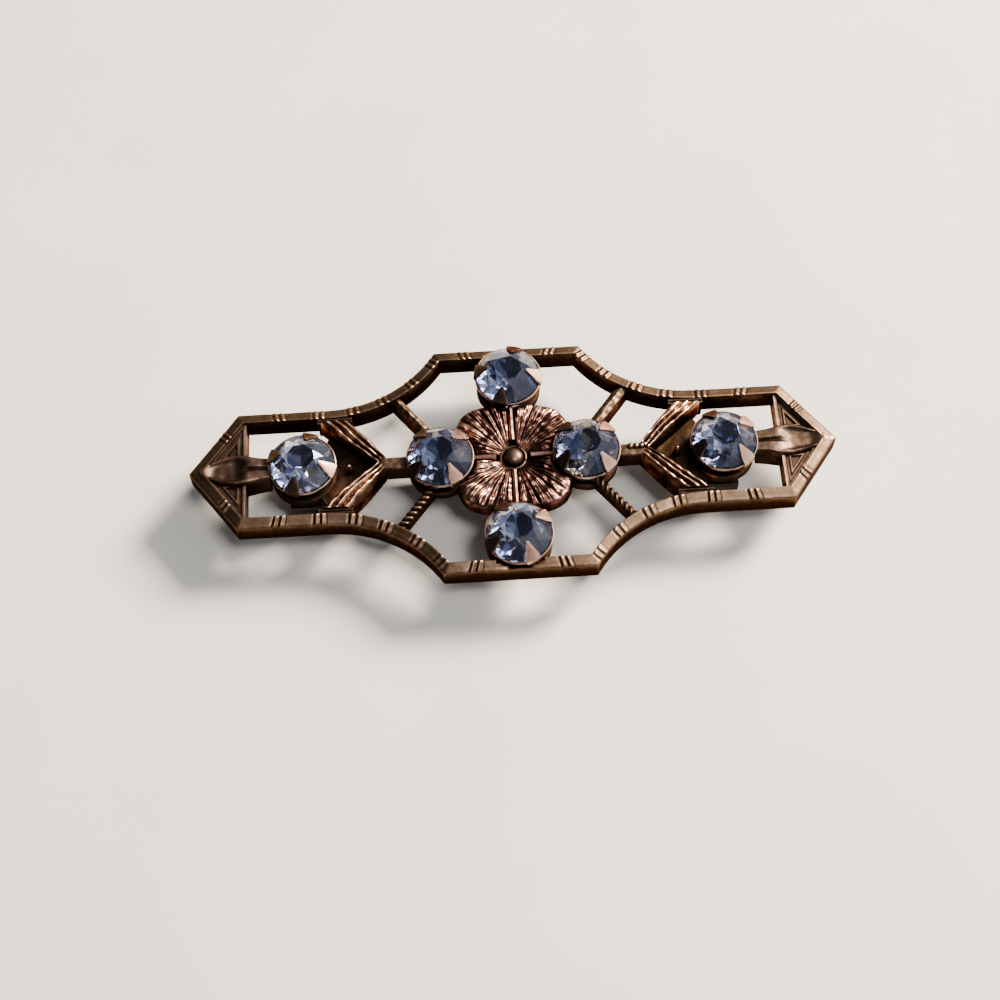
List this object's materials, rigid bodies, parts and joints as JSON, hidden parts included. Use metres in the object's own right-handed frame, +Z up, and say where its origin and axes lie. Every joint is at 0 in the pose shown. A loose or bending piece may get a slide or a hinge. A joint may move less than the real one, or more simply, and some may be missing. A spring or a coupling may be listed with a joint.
{
  "type": "filigree brooch",
  "caption": "Openwork bar brooch with pointed ends: claw-set round cut stones round a ribbed flower, in a grooved brass frame on a pin back.",
  "frame": {"origin": "middle of the brooch in plan, on the surface that its pin back rests on", "axes": "+X along the brooch towards its right tip, +Y across it, +Z up out of its face"},
  "size_m": [0.0496, 0.0195, 0.0066],
  "materials": {
    "frame_brass": "tarnished rose brass, satin, darker in the walls",
    "flower_brass": "rose brass, rubbed bright on the ribs",
    "claw_brass": "rose brass, rubbed bright at the claws",
    "pin_metal": "dull grey, lightly brushed",
    "paste_stone": "cut and polished, foiled behind"
  },
  "bodies": {
    "root": {"filigree_frame": "frame_brass", "centre_flower": "flower_brass", "pin_back": "pin_metal", "setting_left_end": "claw_brass", "setting_left_inner": "claw_brass", "setting_top": "claw_brass", "setting_bottom": "claw_brass", "setting_right_inner": "claw_brass", "setting_right_end": "claw_brass", "stone_left_end": "paste_stone", "stone_left_inner": "paste_stone", "stone_top": "paste_stone", "stone_bottom": "paste_stone", "stone_right_inner": "paste_stone", "stone_right_end": "paste_stone"}
  },
  "joints": []
}
